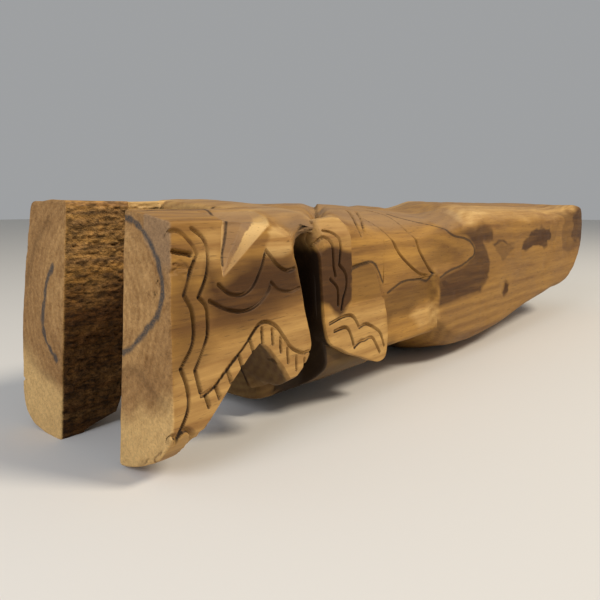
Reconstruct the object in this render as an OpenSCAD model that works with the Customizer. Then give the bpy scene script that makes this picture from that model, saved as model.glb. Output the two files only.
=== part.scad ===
// Carved headrest made from one split log: two front legs like a fork,
// a saddle between them, two middle legs, the body, the belly and the tail.
// The sawn end faces -X, the tail points to +X, and the log lies on its belly.

/* [Log] */
// Length from the sawn end to the tip of the tail
log_len = 508; // [496:2:524]
// Width over the two flattened sides
log_w = 108; // [104:1:112]
// Height from the soles to the crown
log_h = 103; // [100:1:106]
// Radius of the rounded underside
belly_r = 99; // [92:1:110]
// Radius of the crowned top
crown_r = 140; // [130:5:180]
// Width of the flat that the log rests on, where it touches the ground
sole_w = 62; // [56:1:68]

/* [Front legs] */
// Thickness of the right front leg at its sole
right_leg_t = 33; // [31:1:35]
// Thickness of the left front leg at its sole
left_leg_t = 32; // [30:1:34]
// How far the gap leans over to the right at its top
gap_lean = 7.6; // [5:0.2:10]
// Height of the arch cut up between the foot and the lobe of a front leg
arch_h = 45; // [40:1:48]
// Clearance of the lobes and of the belly above the ground at the outside
lobe_lift = 9; // [6:1:11]

/* [Middle] */
// Distance from the sawn end to the front of the saddle
saddle_x = 48; // [46:1:52]
// Distance from the sawn end to the front of the body
body_x = 81; // [80:1:83]
// Width of the slot between a front leg and the body at half height
slot_w = 11; // [9:1:12]
// How far a middle leg stands proud of the body
leg_relief = 4; // [3:0.5:5]
// Distance from the sawn end to the front of the belly
belly_x = 142; // [141:1:146]
// Height where the belly meets the body
belly_top = 58; // [52:1:60]

/* [Tail] */
// Distance from the sawn end to the front of the tail
tail_x = 196; // [192:1:200]
// Slope of the rising underside of the tail, in degrees
tail_rise = 7; // [5:0.5:8]

/* [Hidden] */
$fn = 96;
heartwood = "#a9773f";
sapwood = "#c9a367";
stained_wood = "#86643d";
half_w = log_w / 2;
start = -log_len / 2;           // X of the sawn end, which the outlines count from
right_inner_y = -half_w + right_leg_t;  // inner face of the right leg at its sole
left_inner_y = half_w - left_leg_t;     // inner face of the left leg at its sole
left_lean = 12;                 // the left side leans in by this much at the top
lean_from = 45;                 // height where that lean starts
belly_drop = belly_r - sqrt(pow(belly_r, 2) - pow(sole_w / 2, 2));
saddle_low = 56;                // underside of the saddle between the legs
core_x = body_x - 9;            // front of the core that closes the gap
slot_top = 84;                  // height where the slots end
arch_x = 44;                    // top of the arch in a front leg, from the sawn end
right_heel = [[8, 0], [10, 11], [30, arch_h - 11]];   // back of the right foot, up to the arch
left_heel = [[13, 0], [27, 5], [34, arch_h - 20]];    // the left foot is longer
middle_leg_t = 16;              // thickness of a middle leg with its sunk part
right_pocket_y = -half_w + middle_leg_t;            // bottoms of the pockets in the
left_pocket_y = half_w - left_lean - middle_leg_t;  // body that take the middle legs
tail_turn_x = 290;              // where the underside of the tail starts to rise

// Y of the right wall of the gap at height z, the left wall is the second one
function right_wall(z) = right_inner_y - gap_lean * z / log_h;
function left_wall(z) = left_inner_y - (gap_lean + 2) * z / log_h;

// Carries a Y-Z outline along X, between two distances from the sawn end
module along_x(x0, x1) {
    translate([start + x0, 0, 0]) rotate([90, 0, 90]) linear_extrude(x1 - x0) children();
}

// Carries an X-Z outline along Y
module along_y(y0, y1) {
    translate([start, y1, 0]) rotate([90, 0, 0]) linear_extrude(y1 - y0) children();
}

// Section of the log: flat sides, crowned top and round underside, raised by lift
module log_section(lift = 0) {
    intersection() {
        polygon([[-half_w, 0], [half_w, 0], [half_w, lean_from],
                 [half_w - left_lean, log_h], [-half_w, log_h]]);
        translate([0, belly_r - belly_drop + lift]) circle(belly_r, $fn = 180);
        translate([0, log_h - crown_r]) circle(crown_r, $fn = 180);
    }
}

// Side outline of a front leg: foot with its heel, arch, lobe, slot edge and the bridge
// above the slot
module front_leg_outline(heel) {
    slot_x = body_x - slot_w;
    polygon(concat([[0, 0]], heel, [[arch_x - 4, arch_h - 1], [arch_x, arch_h],
             [arch_x + 4, arch_h - 1.5], [58, 33], [66, 20], [69, 0],
             [73, 0], [slot_x + 5, 24], [slot_x + 6, 39], [slot_x + 2, 55],
             [slot_x - 3, slot_top - 3], [slot_x, slot_top], [body_x, slot_top + 3],
             [body_x, log_h], [0, log_h]]));
}

// Front leg between y0 and y1, cut to the walls that leg_walls gives.
// The lobe behind the arch is clear of the ground, the foot stands on it.
module front_leg(y0, y1, heel, leg_walls) {
    intersection() {
        along_y(y0, y1) front_leg_outline(heel);
        along_x(0, body_x) polygon(leg_walls);
        union() {
            along_x(0, arch_x) log_section();
            along_x(arch_x, body_x) log_section(lobe_lift);
        }
    }
}

// Right leg of the fork, with the carved panel
module right_front_leg() {
    color(heartwood) front_leg(-half_w, right_wall(0), right_heel,
        [[-half_w, 0], [right_wall(0), 0], [right_wall(log_h), log_h], [-half_w, log_h]]);
}

// Left leg of the fork
module left_front_leg() {
    color(heartwood) front_leg(left_wall(log_h), half_w, left_heel,
        [[left_wall(0), 0], [half_w, 0], [half_w, log_h], [left_wall(log_h), log_h]]);
}

// Bridge between the two front legs, rounded at the front of its underside
module front_saddle() {
    nose_r = 26;
    color(stained_wood) intersection() {
        along_x(saddle_x, body_x) polygon([[right_wall(saddle_low), saddle_low],
            [left_wall(saddle_low), saddle_low], [left_wall(log_h), log_h],
            [right_wall(log_h), log_h]]);
        along_x(saddle_x, body_x) log_section();
        along_y(-half_w, half_w) union() {
            translate([saddle_x + nose_r, saddle_low + nose_r]) circle(nose_r);
            translate([saddle_x, saddle_low + nose_r]) square([nose_r, log_h]);
            translate([saddle_x + nose_r, saddle_low]) square([body_x, log_h]);
        }
    }
}

// Side outline of a middle leg: tall bar at the front, foot behind it
module middle_leg_outline() {
    translate([body_x, 0]) polygon([[0, 92], [2, 76], [5, 48], [9, 37], [27, 28],
        [50, 20], [57, 21], [59, 27], [59, 40], [54, 58], [47, 70], [27, 71],
        [25, 84], [21, 92]]);
}

// Slab of a middle leg between y0 and y1, its inner part sunk into the body
module middle_leg(y0, y1) {
    intersection() {
        along_y(y0, y1) middle_leg_outline();
        along_x(body_x, belly_x) log_section();
    }
}

// Right middle leg, with its lines and scallops
module right_middle_leg() {
    color(sapwood) middle_leg(-half_w, right_pocket_y);
}

// Left middle leg
module left_middle_leg() {
    color(sapwood) middle_leg(left_pocket_y, half_w);
}

// Middle of the log: the core behind the gap, the shoulders and the neck
module body_block() {
    foot_x = body_x + 27;       // here the underside is at its lowest
    color(heartwood) difference() {
        union() {
            intersection() {
                along_x(body_x, belly_x) log_section(lobe_lift);
                along_y(-half_w + leg_relief, half_w - leg_relief) polygon([
                    [body_x, 37], [body_x + 9, 12], [foot_x, 0], [belly_x, 0],
                    [belly_x, log_h], [body_x, log_h]]);
            }
            // core that closes the gap between the front legs
            intersection() {
                along_x(core_x, foot_x) polygon([[right_wall(lobe_lift), lobe_lift],
                    [left_wall(lobe_lift), lobe_lift], [left_wall(saddle_low), saddle_low],
                    [right_wall(saddle_low), saddle_low]]);
                along_x(core_x, foot_x) log_section();
            }
            // neck above the belly
            intersection() {
                along_x(belly_x, tail_x) log_section();
                along_y(-half_w, half_w) translate([belly_x, belly_top])
                    square([tail_x - belly_x, log_h]);
            }
        }
        along_y(-half_w, right_pocket_y) middle_leg_outline();
        along_y(left_pocket_y, half_w) middle_leg_outline();
    }
}

// Lower part of the log between the middle legs and the tail
module belly_block() {
    color(sapwood) intersection() {
        along_x(belly_x, tail_x) log_section(lobe_lift);
        along_y(-half_w, half_w) translate([belly_x, 0]) square([tail_x - belly_x, belly_top]);
    }
}

// Long tail: rests on its keel, then rises to a blunt tip cut in facets
module tail_block() {
    tip_taper = 8;              // how far the sides close in towards the tip
    color(sapwood) intersection() {
        along_x(tail_x, log_len) log_section();
        // underside that rises towards the tip
        translate([start + tail_turn_x, 0, 0]) rotate([0, -tail_rise, 0])
            rotate([90, 0, 90]) translate([0, belly_r - belly_drop, -tail_turn_x])
                linear_extrude(log_len * 1.2) circle(belly_r, $fn = 180);
        // side outline
        along_y(-half_w, half_w) polygon([[tail_x, 18], [tail_x + 24, 5], [tail_x + 44, 0],
            [log_len - 60, 0], [log_len - 43, 34], [log_len - 24, 45], [log_len - 8, 56],
            [log_len, 73], [log_len - 3, 84], [log_len - 12, 93], [log_len - 36, log_h],
            [tail_x, log_h]]);
        // plan outline
        translate([start, 0, 0]) linear_extrude(log_h) polygon([[tail_x, -half_w],
            [log_len - 40, -half_w], [log_len, -half_w + tip_taper],
            [log_len, half_w - tip_taper], [log_len - 40, half_w], [tail_x, half_w]]);
    }
}

right_front_leg();
left_front_leg();
front_saddle();
right_middle_leg();
left_middle_leg();
body_block();
belly_block();
tail_block();
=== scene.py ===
"""Carved headrest: eight carved lengths of one split log, lofted with numpy and dressed in spalted wood."""

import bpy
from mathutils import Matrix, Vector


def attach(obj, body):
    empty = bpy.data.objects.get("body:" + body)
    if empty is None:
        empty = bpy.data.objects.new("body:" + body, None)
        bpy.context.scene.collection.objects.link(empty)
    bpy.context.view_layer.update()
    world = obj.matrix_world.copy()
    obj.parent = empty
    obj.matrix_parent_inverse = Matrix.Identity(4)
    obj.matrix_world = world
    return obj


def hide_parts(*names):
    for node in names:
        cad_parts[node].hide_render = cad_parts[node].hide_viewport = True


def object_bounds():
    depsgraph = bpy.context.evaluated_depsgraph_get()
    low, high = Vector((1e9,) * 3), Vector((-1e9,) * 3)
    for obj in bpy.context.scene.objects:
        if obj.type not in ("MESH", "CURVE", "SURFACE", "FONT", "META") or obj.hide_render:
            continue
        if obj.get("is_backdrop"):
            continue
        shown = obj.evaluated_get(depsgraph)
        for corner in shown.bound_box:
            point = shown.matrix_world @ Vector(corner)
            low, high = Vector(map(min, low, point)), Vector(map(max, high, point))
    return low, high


bl_info = {
    "name": "Carved wooden headrest",
    "version": (1, 0, 0),
    "blender": (4, 5, 0),
    "location": "3D View > Sidebar > Headrest",
    "description": "Builds the carved pieces of a log headrest, their wood and a plain studio stage",
    "category": "Object",
}

import math

import bpy
import numpy as np

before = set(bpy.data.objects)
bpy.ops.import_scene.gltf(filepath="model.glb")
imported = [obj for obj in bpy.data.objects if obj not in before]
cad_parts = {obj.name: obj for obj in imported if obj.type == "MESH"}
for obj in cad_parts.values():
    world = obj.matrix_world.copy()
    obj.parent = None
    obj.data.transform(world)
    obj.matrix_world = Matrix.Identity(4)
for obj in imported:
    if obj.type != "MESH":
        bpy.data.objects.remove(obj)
CAD_LOW, CAD_HIGH = (list(corner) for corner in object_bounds())
CAD_SIZE = [high - low for low, high in zip(CAD_LOW, CAD_HIGH)]

# The outlines below are in millimetres on a log of this size: X from the sawn end,
# Y from the middle to the left, Z from the ground.
OUTLINE_SIZE = (508.0, 108.0, 103.0)
MILLIMETRES = 1000               # in a metre
HALF_WIDTH = 54.0
RECESS = 4.0                     # how far the body lies behind the legs
BODY_SIDE = HALF_WIDTH - RECESS
BODY_X, BELLY_X, TAIL_X = 81.0, 142.0, 196.0     # where the body, the belly and the tail begin
OVERLAP = 0.4                    # how far a piece reaches into the next one
SPLIT_Y = -6.0                   # middle of the gap, which parts the right side from the left

# ---------------------------------------------------------------- outlines of the log

# Height of the ridge along the log
RIDGE = [(0, 102), (45, 102), (60, 102.6), (78, 102.6), (92, 101), (135, 101),
         (165, 100.5), (195, 98.5), (217, 97), (235, 99.5), (246, 101.8), (300, 102),
         (400, 102), (470, 101.5), (508, 100.5)]
# Height of the worn upper edge along the right side
EDGE = [(0, 95), (20, 95), (45, 92.5), (60, 87), (67, 85), (75, 88), (81, 91), (100, 90),
        (112, 84), (140, 78), (170, 76), (195, 80), (222, 86), (245, 90), (258, 90.5),
        (300, 89), (365, 88), (425, 88.5), (455, 92), (475, 96), (490, 97.5), (508, 97.5)]
# Width of the slope between that edge and the ridge
SLOPE = [(0, 5), (45, 6), (60, 20), (81, 14), (100, 14), (112, 20), (142, 30), (205, 30),
         (225, 24), (258, 12), (300, 16), (430, 16), (475, 6), (508, 4)]
# Underside at each distance from the middle
BELLY = [(0, 0.3), (21, 1.2), (31, 2.8), (38, 5.6), (47, 10.7), (51.5, 16), (54, 19)]
# Underside of a front leg behind its foot
ARCH = [(6.5, 0), (8, 8), (10, 14), (14.7, 18.5), (22, 25.5), (30, 34), (38, 41), (43.8, 45),
        (47, 44), (51, 40.5), (57.6, 33.3), (62, 27), (66, 20), (69.3, 9)]
# The same under the left leg, whose foot is longer
LEFT_ARCH = [(11, 0), (14, 1.2), (20.5, 3.2), (27, 5), (34, 24), (40, 41), (43.8, 45), (47, 44),
             (51, 40.5), (57.6, 33.3), (62, 27), (66, 20), (69.3, 9)]
# Sole of the left leg at each distance from the middle
LEFT_SOLE = [(0, 0), (40, 0.3), (45, 1.5), (49, 4), (52, 7), (53, 9), (54, 12)]
# Back of a front leg at each height: the slot, and the bridge that closes it at the top
LEG_BACK = [(-5, 70), (9, 72.5), (24, 76), (38.6, 77), (55, 72), (68, 68.7), (78, 66.9),
            (82, 67.5), (85, 71), (87.5, 77), (89, 81.4), (110, 81.4)]
# Front of the body at each height
BODY_FRONT = [(0, 92), (37, 90), (48, 86), (76, 83), (88, 81.2), (110, 81)]
# Underside of the tail along its keel
KEEL = [(190, 20), (196, 18), (220, 5), (243, 0.4), (285, 0.5), (349, 9.6), (414, 15.6),
        (463, 22.4), (481, 33), (497, 45), (508, 56)]
# Tip of the tail at each height
TIP = [(0, 508), (57, 506), (66, 507.6), (76, 507.6), (86, 505), (93, 500), (98, 490), (104, 474)]
# Outline of a middle leg, from its front top corner round to its back top corner
MIDDLE_LEG = [(81, 93), (83, 76), (86, 48), (90, 37), (99, 32.5), (108, 28), (120, 24), (131, 20),
              (138, 21), (140, 27), (140, 40), (135, 58), (128, 70), (118, 70.7), (108, 71),
              (106, 84), (102, 94)]

# ---------------------------------------------------------------- carved lines, (X, height)

# Lines of the front legs: brow, two wavy lines, foot line and two rows of scallops
LEG_LINES = [
    [(0.5, 91.5), (4, 91), (9, 87), (12, 82.5)],
    [(1.5, 84.5), (9, 82.5)],
    [(12, 82.5), (10, 79.5), (6, 69)],
    [(6, 69), (9.5, 62), (9.5, 51.5), (4, 43.5)],
    [(4, 43.5), (7, 35.5), (7, 28), (2.5, 19.5)],
    [(9.5, 92), (15, 88), (17, 81.5), (16, 74.5), (12.5, 67.5)],
    [(12.5, 67.5), (16, 63), (16.5, 54), (14.5, 49), (10.5, 41.5)],
    [(10.5, 41.5), (13, 33)],
    [(0, 21), (2.5, 20), (6, 21.5), (10, 19)],
    [(22, 71), (27.5, 67), (34.5, 66), (40.5, 69), (45, 76), (47.5, 82)],
    [(47.5, 82), (54, 76), (60, 73), (65, 73.5)],
    [(17.5, 65.5), (25.5, 61.5), (34.5, 59.5), (42.5, 61), (48.5, 65.5), (50.5, 69)],
    [(50.5, 69), (55, 65.5), (62.5, 64), (68, 65)],
]
# Border over the arch, and the X of each short cut below it
LEG_BORDER = [(13.5, 31.5), (19, 33.5), (27, 39.5), (36.5, 47), (42.5, 52.5), (47, 53.5),
              (53, 51), (58.5, 45), (63, 40), (70, 36.5), (75, 36.5)]
BORDER_CUTS = [15, 20, 26, 32, 38, 45, 51, 56, 60.5, 66, 71.5]
# Lines of the middle legs: two long ones down the bar, two scalloped rows over the foot
MIDDLE_LINES = [
    [(81.5, 86.5), (86, 86), (90.5, 83), (92, 79), (92.5, 73), (94, 67.5)],
    [(86.5, 90), (92, 88.5), (96.5, 84.5), (98, 80), (97, 72.5)],
    [(97, 72.5), (102, 68), (102.5, 62), (100.5, 56.5), (99, 51.5)],
    [(90, 66.5), (95, 62.5), (96, 59), (96.5, 54)],
    [(90, 46), (102, 48), (109, 46.5), (114, 40.5)],
    [(114, 40.5), (119, 41.5), (124, 40), (132.5, 35), (136.5, 27.5)],
    [(93.5, 42), (102.5, 42.5), (107, 38), (110, 31.5)],
    [(110, 31.5), (115, 33.5), (119, 33.5), (125.5, 33.5), (132.5, 25)],
]
# Lines of the body: two short ones on the shoulder and a long leaf on the neck
BODY_LINES = [
    [(145, 117), (140, 110), (135, 102), (130, 95), (126, 89)],
    [(138, 119), (131, 108), (126, 99), (122, 91), (121, 85)],
    [(138, 106), (144, 98), (148, 90), (151, 81), (157, 74), (168, 67), (180, 61), (189, 59)],
    [(152, 126), (163, 116), (170, 107), (172, 98), (173, 89), (178, 76), (186, 68), (194, 60)],
]
# Dark lines that the fungus drew in the wood, (X, height)
ZONE_LINES = [
    [(107.5, 68.5), (113, 69.5), (119, 70.5), (128, 71), (134, 69), (138, 65), (141, 60)],
    [(146, 54), (153, 56), (160, 57.5), (168, 58), (180, 58), (189, 56), (194, 60)],
    [(172, 112), (182, 104), (193, 98), (205, 92), (212, 85), (218, 82), (231, 79), (240, 76),
     (247, 71), (246, 67), (238, 64.5), (228, 62), (211, 60), (199, 57)],
    [(36, 121), (33, 110), (31.5, 102), (30, 95), (27.5, 88), (26, 80)],
    [(1, 117), (12, 120), (24, 121), (38, 122), (50, 128)],
]
# The same lines on the sawn ends, (Y, height)
END_LINES = [
    [(-28, 95.5), (-33, 94.5), (-38.5, 91.5), (-44, 85.5), (-48, 79.5), (-50, 72), (-49, 66),
     (-46, 60.5), (-37.5, 53.5), (-31, 48), (-25, 45.5)],
    [(24, 74.5), (29.5, 67), (32, 60), (34, 50), (32.5, 43), (29, 39), (23, 34.5)],
]
# Fainter brown arcs outside them
END_STAINS = [
    [(26, 94), (36, 85), (43, 75), (47, 66)],
    [(52, 40), (46, 31), (38, 27), (26, 25)],
    [(-24, 38), (-34, 40), (-44, 33), (-51, 30)],
]
# Stained areas: strength, softness of the edge in millimetres, outline (X, height)
STAINS = [
    # band over the carved side
    (1.0, 5, [(17, 79), (24, 72), (30, 76), (40, 80), (52, 79), (69, 77), (71, 64), (60, 60), (48, 56),
               (34, 54), (20, 56), (15, 66)]),
    (0.5, 6, [(0, 80), (12, 79), (16, 66), (17, 52), (12, 44), (0, 42)]),
    # bar and block of the middle leg
    (1.0, 1.6, [(78, 79), (92, 81), (108.5, 78), (108.5, 56), (99, 47), (94, 50), (88, 55), (78, 58)]),
    (0.45, 2, [(108, 70), (120, 71), (134, 69), (140, 60), (139, 53), (120, 52), (108, 53)]),
    # belly
    (0.6, 3, [(142, 53), (160, 57), (180, 58), (196, 59), (197, 45), (180, 43), (169, 39), (152, 40),
              (142, 34)]),
    # tail: large patch behind the loop, its dark spot, and four smaller ones
    (0.85, 2, [(220, 83), (232, 80), (247, 72), (246, 67), (232, 62), (210, 59), (197, 56), (197, 40),
               (218, 41), (257, 42), (270, 50), (274, 64), (268, 71), (262, 76), (277, 77), (275, 86),
               (262, 88), (248, 84), (236, 84)]),
    (1.0, 3, [(199, 56), (207, 57), (217, 53), (220, 48), (208, 46), (200, 50)]),
    (0.6, 2, [(278, 74), (312, 73), (322, 68), (305, 61), (296, 59), (286, 66)]),
    (0.9, 1.5, [(276, 75.5), (300, 76.5), (320, 70), (312, 70), (298, 73), (280, 72)]),
    (0.9, 1.5, [(331, 66), (337, 74), (351, 80), (380, 83.5), (400, 84), (403, 72), (389, 64), (360, 65)]),
    (0.45, 2.5, [(400, 84), (429, 88), (424, 80), (409, 69), (396, 66)]),
    (0.6, 3, [(426, 93), (438, 85), (428, 75), (435, 60), (451, 53), (476, 57), (515, 60), (515, 99),
              (470, 97)]),
    (0.9, 4, [(462, 95), (515, 98), (515, 64), (476, 62), (460, 72), (468, 84)]),
    # knot on the shoulder
    (0.6, 4, [(63, 100), (74, 103), (83, 96), (83, 86), (72, 86), (66, 92)]),
    (1.0, 2.5, [(303, 47), (311, 42), (306, 36), (299, 33), (297, 38), (301, 43)]),
    (0.35, 8, [(320, 55), (400, 58), (430, 46), (400, 36), (330, 30), (300, 30)]),
    (0.3, 6, [(197, 84), (300, 86), (515, 96), (515, 40), (400, 0), (197, 0)]),
    (0.5, 12, [(182, 66), (205, 82), (225, 81), (246, 73), (246, 66), (228, 61), (205, 58)]),
]
# Pale sapwood, in the same form
PALE = [
    (0.95, 1.0, [(47.5, 81), (48, 90), (60, 97), (63, 89), (62, 82), (57, 79)]),
    (0.45, 6, [(-4, 42), (20, 50), (40, 52), (52, 54), (76, 58), (80, 20), (40, 20), (-4, -4)]),
    (0.55, 4, [(12, 93), (24, 93), (24, 80), (12, 79)]),
    (0.45, 4, [(88, 50), (138, 51), (142, 30), (134, 16), (104, 22), (88, 36)]),
    (0.4, 4, [(36, 112), (100, 106), (104, 125), (80, 150), (36, 150)]),
    (0.7, 4, [(80, 84), (108, 83), (110, 108), (84, 108)]),
    (0.6, 2, [(171, 38), (192, 43), (197, 42), (197, 28), (181, 29)]),
    (1.0, 2, [(229, 85), (245, 87), (267, 93), (285, 95), (262, 112), (240, 112), (234, 98)]),
    (0.12, 5, [(198, 38), (257, 40), (280, 50), (300, 57), (404, 62), (470, 48), (490, 36), (400, 14),
              (300, -6), (198, -6)]),
    (0.6, 3, [(240, 92), (300, 89), (430, 89), (470, 95), (500, 98), (508, 110), (300, 125),
               (250, 120)]),
]
# Weathered grey, in the same form
GREYS = [
    (0.8, 5, [(113, 99), (137, 92), (188, 94), (208, 98), (225, 116), (190, 150), (120, 150)]),
    (0.75, 3, [(213, 85), (233, 89), (244, 102), (250, 118), (215, 124), (206, 100)]),
    (0.65, 4, [(60, 104), (64, 95), (69, 85), (80, 86), (84, 96), (84, 150), (66, 150), (60, 118)]),
    (0.4, 10, [(260, 112), (508, 112), (508, 160), (260, 160)]),
]


# ---------------------------------------------------------------- small mathematics

def mix(a, b, t):
    """a at t = 0, b at t = 1, straight in between."""
    return a + (b - a) * t


def ease(low, high, x):
    """0 below low, 1 above high, and t*t*(3 - 2*t) in between."""
    t = np.clip((x - low) / (high - low), 0, 1)
    return t * t * (3 - 2 * t)


def band(a, b, c, d, x):
    """Eases up from a to b, and down again from c to d."""
    return ease(a, b, x) * (1 - ease(c, d, x))


def curve(points, x):
    """Smooth curve through the points: cubic pieces that share the slope of their neighbours."""
    xs, ys = np.array(points, float).T
    slope = np.gradient(ys, xs)
    i = np.clip(np.searchsorted(xs, x) - 1, 0, len(xs) - 2)
    wide = xs[i + 1] - xs[i]
    t = np.clip((x - xs[i]) / wide, 0, 1)
    start = (1 + 2 * t) * (1 - t) ** 2 * ys[i] + t * (1 - t) ** 2 * wide * slope[i]
    return start + t * t * (3 - 2 * t) * ys[i + 1] - t * t * (1 - t) * wide * slope[i + 1]


def straight(points, x):
    """Straight pieces between the points."""
    xs, ys = np.array(points, float).T
    return np.interp(x, xs, ys)


def rounded(points, steps=6):
    """A line with more points, on the smooth curve through the given ones."""
    points = np.array(points, float)
    along = np.arange(len(points))
    fine = np.linspace(0, len(points) - 1, (len(points) - 1) * steps + 1)
    return np.stack([curve(np.stack([along, points[:, k]], 1), fine) for k in (0, 1)], 1)


GRAIN_STEPS = (127.1, 311.7, 74.7)
GRAIN_SEED = 17.3
GRAIN_SCALE = 43758.5453


def grain(point, cell, seed):
    """Smooth noise from -1 to 1: values on a lattice with this cell, eased between its corners.
    A corner's value is the part after the point of a large multiple of the sine of its number."""
    q = point / np.asarray(cell, float)
    base = np.floor(q)
    t = q - base
    t = t * t * (3 - 2 * t)
    total = 0.0
    for corner in np.ndindex(2, 2, 2):
        k = base + corner
        value = np.sin(k @ np.array(GRAIN_STEPS) + seed * GRAIN_SEED) * GRAIN_SCALE
        weight = np.prod(np.where(np.array(corner) == 1, t, 1 - t), axis=-1)
        total = total + weight * (value - np.floor(value))
    return total * 2 - 1


def line_distance(x, h, lines, reach):
    """Distance in millimetres from each point to the nearest line, at most reach."""
    nearest = np.full(np.shape(x), float(reach))
    for line in lines:
        line = np.asarray(line, float)
        low, high = line.min(0) - reach, line.max(0) + reach
        near = (x > low[0]) & (x < high[0]) & (h > low[1]) & (h < high[1])
        if not near.any():
            continue
        p = np.stack([x[near], h[near]], 1)[:, None]
        a, b = line[None, :-1], line[None, 1:]
        t = np.clip(((p - a) * (b - a)).sum(-1) / np.maximum(((b - a) ** 2).sum(-1), 1e-9), 0, 1)
        away = np.linalg.norm(a + (b - a) * t[..., None] - p, axis=-1).min(1)
        nearest[near] = np.minimum(nearest[near], away)
    return nearest


def spread(x, h, areas):
    """The strongest of some areas at each point: 1 inside a closed outline and 0 outside by the
    even-odd rule, times its strength, blurred across the edge by its softness."""
    total = np.zeros(np.shape(x))
    for strength, soft, outline in areas:
        ring = np.array(outline + outline[:1], float)
        inside = np.zeros(np.shape(x), bool)
        for (x0, h0), (x1, h1) in zip(ring[:-1], ring[1:]):
            if h0 != h1:
                inside ^= ((h0 > h) != (h1 > h)) & (x < (x1 - x0) * (h - h0) / (h1 - h0) + x0)
        away = line_distance(x, h, [ring], soft) / soft
        total = np.maximum(total, strength * np.clip(0.5 + np.where(inside, away, -away) / 2, 0, 1))
    return total


# ---------------------------------------------------------------- shape of the log

def log_top(x, y):
    """Ridge height, less 0.0012 times the squared distance from y = 25 (a quarter of that at the
    tip), less the crease that runs back from the slots to a point and the low step in front of
    it, less the square of the way down each sloping shoulder."""
    ahead = x - BODY_X - 1.25 * (y + HALF_WIDTH)
    crease = np.minimum(BODY_X + 1.25 * (y + HALF_WIDTH), BODY_X + 1.02 * (42 - y))
    slant = x - 0.85 * np.maximum(y + 30, 0) * ease(190, 225, x)
    flatter = 1 - 0.75 * ease(440, 485, x)
    height = curve(RIDGE, slant) - 0.0012 * flatter * (y - 25) ** 2
    height = height - 2.2 * band(-16, -1, -1, 0.6, ahead) * ease(60, 80, x)
    height = height - 3.5 * np.exp(-((x - crease) / 5) ** 2) * ease(80, 92, x) * ease(-52, -40, y)
    wide, edge = straight(SLOPE, x), curve(EDGE, x)
    right = np.clip((wide - HALF_WIDTH - y) / wide, 0, 1)
    left = np.clip((wide - 44 + y) / wide, 0, 1)
    drop_right = np.maximum(curve(RIDGE, x) - 7.5 * flatter - edge, 0)
    drop_left = np.maximum(curve(RIDGE, x) - 0.5 - edge, 0)
    return height - drop_right * right ** 2 - drop_left * left ** 2


def recess(x, z):
    """How far the body lies behind the middle legs, easing out where the tail begins."""
    out = mix(ease(190, 198, x), ease(195, 240, x), ease(58, 66, z))
    return RECESS * ease(80.5, 82, x) * (1 - out)


def over_slot(x, z):
    """1 in the middle of the hollow above the slot, 0 outside it."""
    return band(62, 74, 79, 86, x) * band(75, 84, 84, 96, z)


def right_side(x, z):
    """Flat side at y = -54, turned in above the soles, over the slots and at the tip of the tail."""
    side = -HALF_WIDTH + 2.5 * (1 - ease(8, 22, z)) + recess(x, z) + 7 * over_slot(x, z)
    return side + 3 * np.clip((x - 478) / 30, 0, 1) ** 2


def left_side(x, z):
    """Side that leans in towards the top, with the same steps as the right one."""
    side = curve([(0, 49), (3, 52), (10, 54), (29, 54), (51, 52.5), (76, 47.6), (101, 41.7)], z)
    side = side - recess(x, z) - 6 * over_slot(x, z)
    return side - 5 * np.clip((x - 468) / 40, 0, 1) ** 2


def right_wall(z):
    """Right wall of the gap, leaning to the right by 7.6 mm over 101 mm of height."""
    return -21 - 7.6 * z / 101


def left_wall(z):
    """Left wall of the gap, leaning to the right by 9.6 mm over 101 mm of height."""
    return 22 - 9.6 * z / 101


def lobe(y, inner, outer, power):
    """Underside of a lobe: from inner, 15 mm from the middle, up to outer at the side, by the
    share of the way raised to power."""
    return mix(inner, outer, np.clip((np.abs(y) - 15) / (HALF_WIDTH - 15), 0, 1) ** power)


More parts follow.
